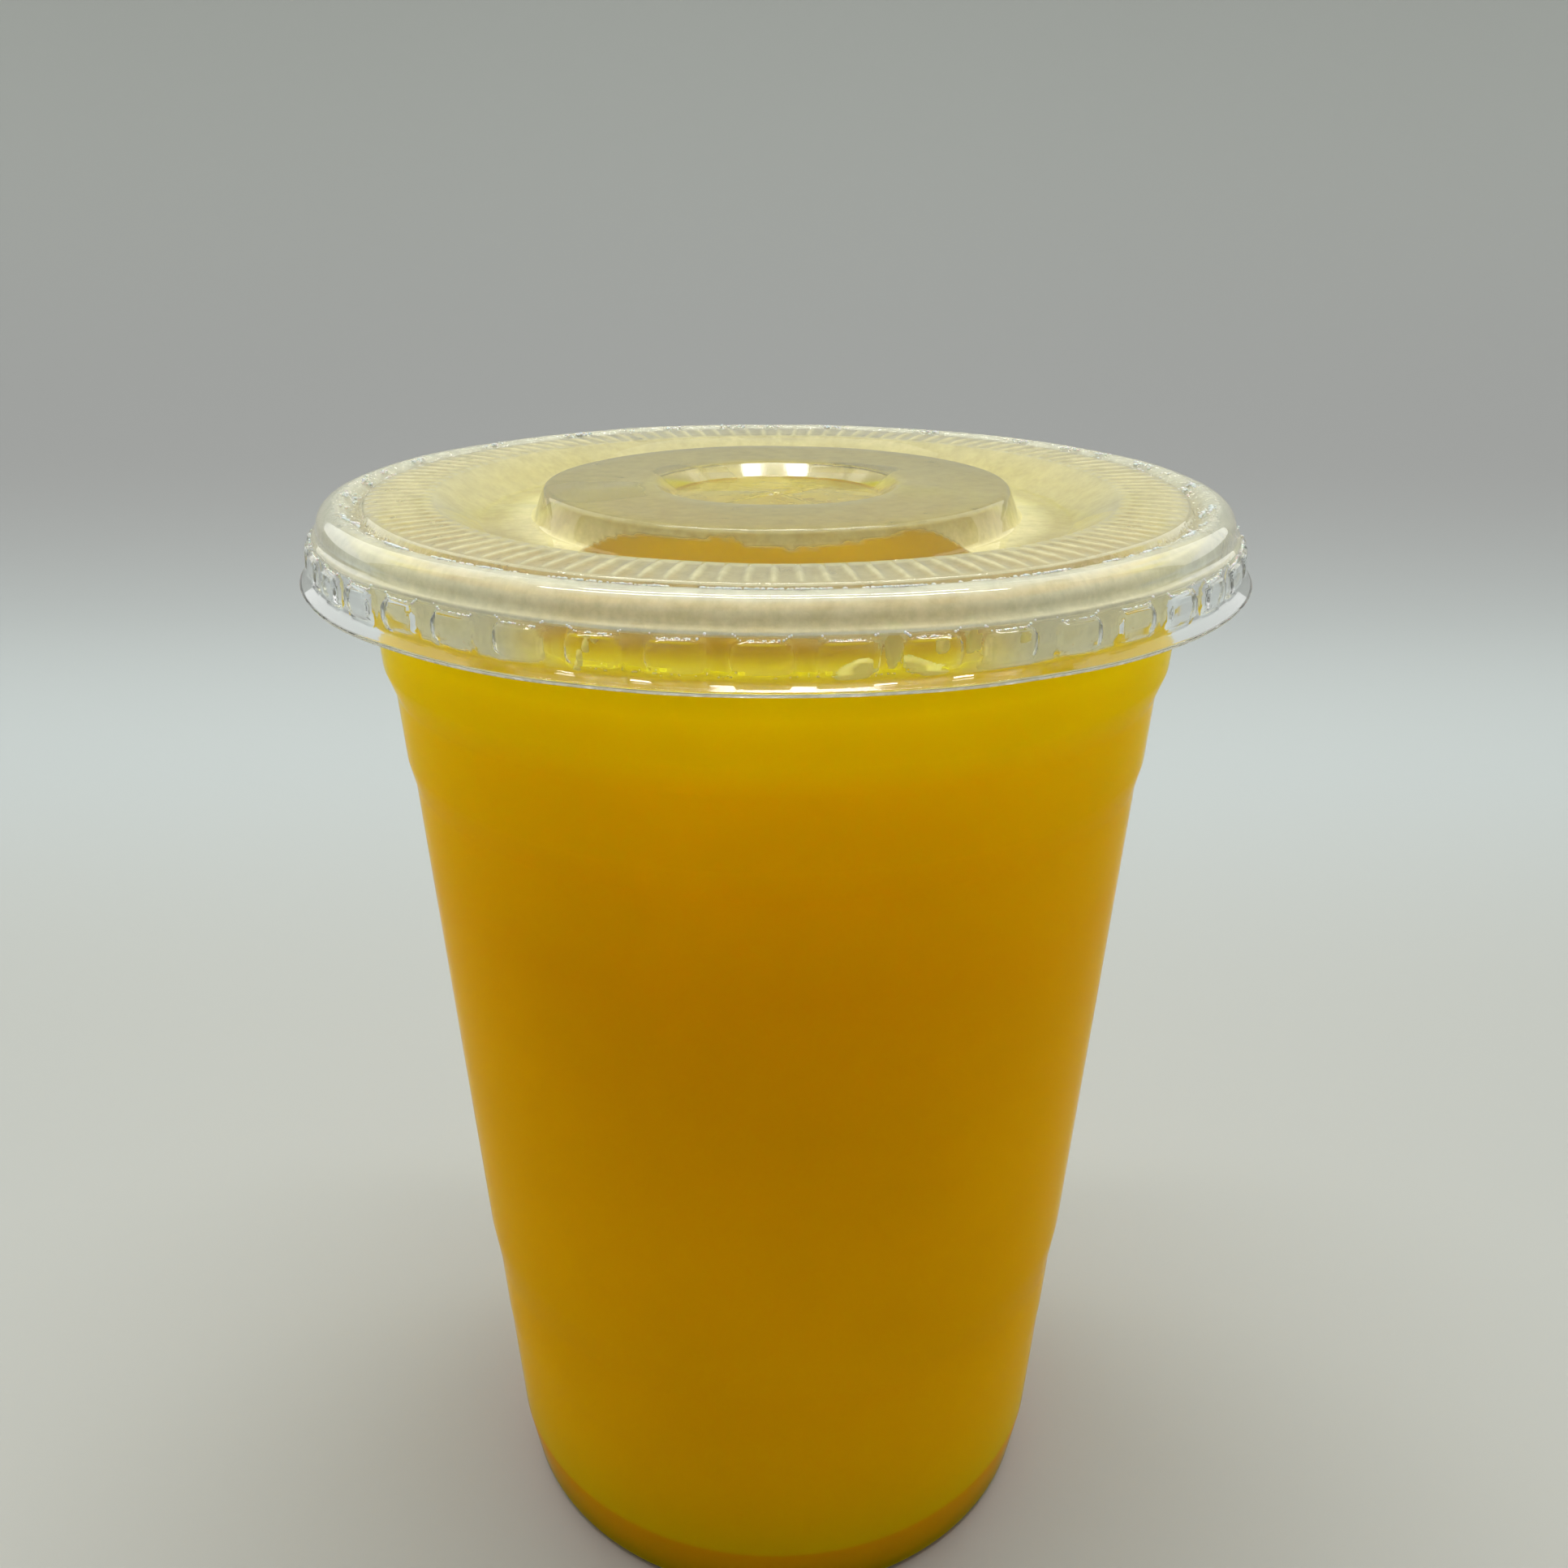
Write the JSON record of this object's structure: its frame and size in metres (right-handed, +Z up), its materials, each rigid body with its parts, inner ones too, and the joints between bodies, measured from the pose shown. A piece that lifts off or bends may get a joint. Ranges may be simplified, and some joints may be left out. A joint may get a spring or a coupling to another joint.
{
  "type": "lidded plastic cup of pineapple juice",
  "caption": "Clear disposable plastic cup filled with pineapple juice, shut with a clear flat press-on lid that has radial ribs, gripping lugs and a cross-cut straw dish.",
  "frame": {"origin": "on the table at the middle of the foot ring", "axes": "+Z up along the cup's axis, -Y towards the viewer"},
  "size_m": [0.1002, 0.1002, 0.1264],
  "materials": {
    "cup_plastic": "clear thin thermoformed plastic, soft sheen",
    "juice": "cloudy amber-yellow pineapple juice",
    "lid_plastic": "clear thin thermoformed plastic, fogged inside"
  },
  "bodies": {
    "root": {"cup": "cup_plastic", "juice": "juice", "lid": "lid_plastic"}
  },
  "joints": []
}
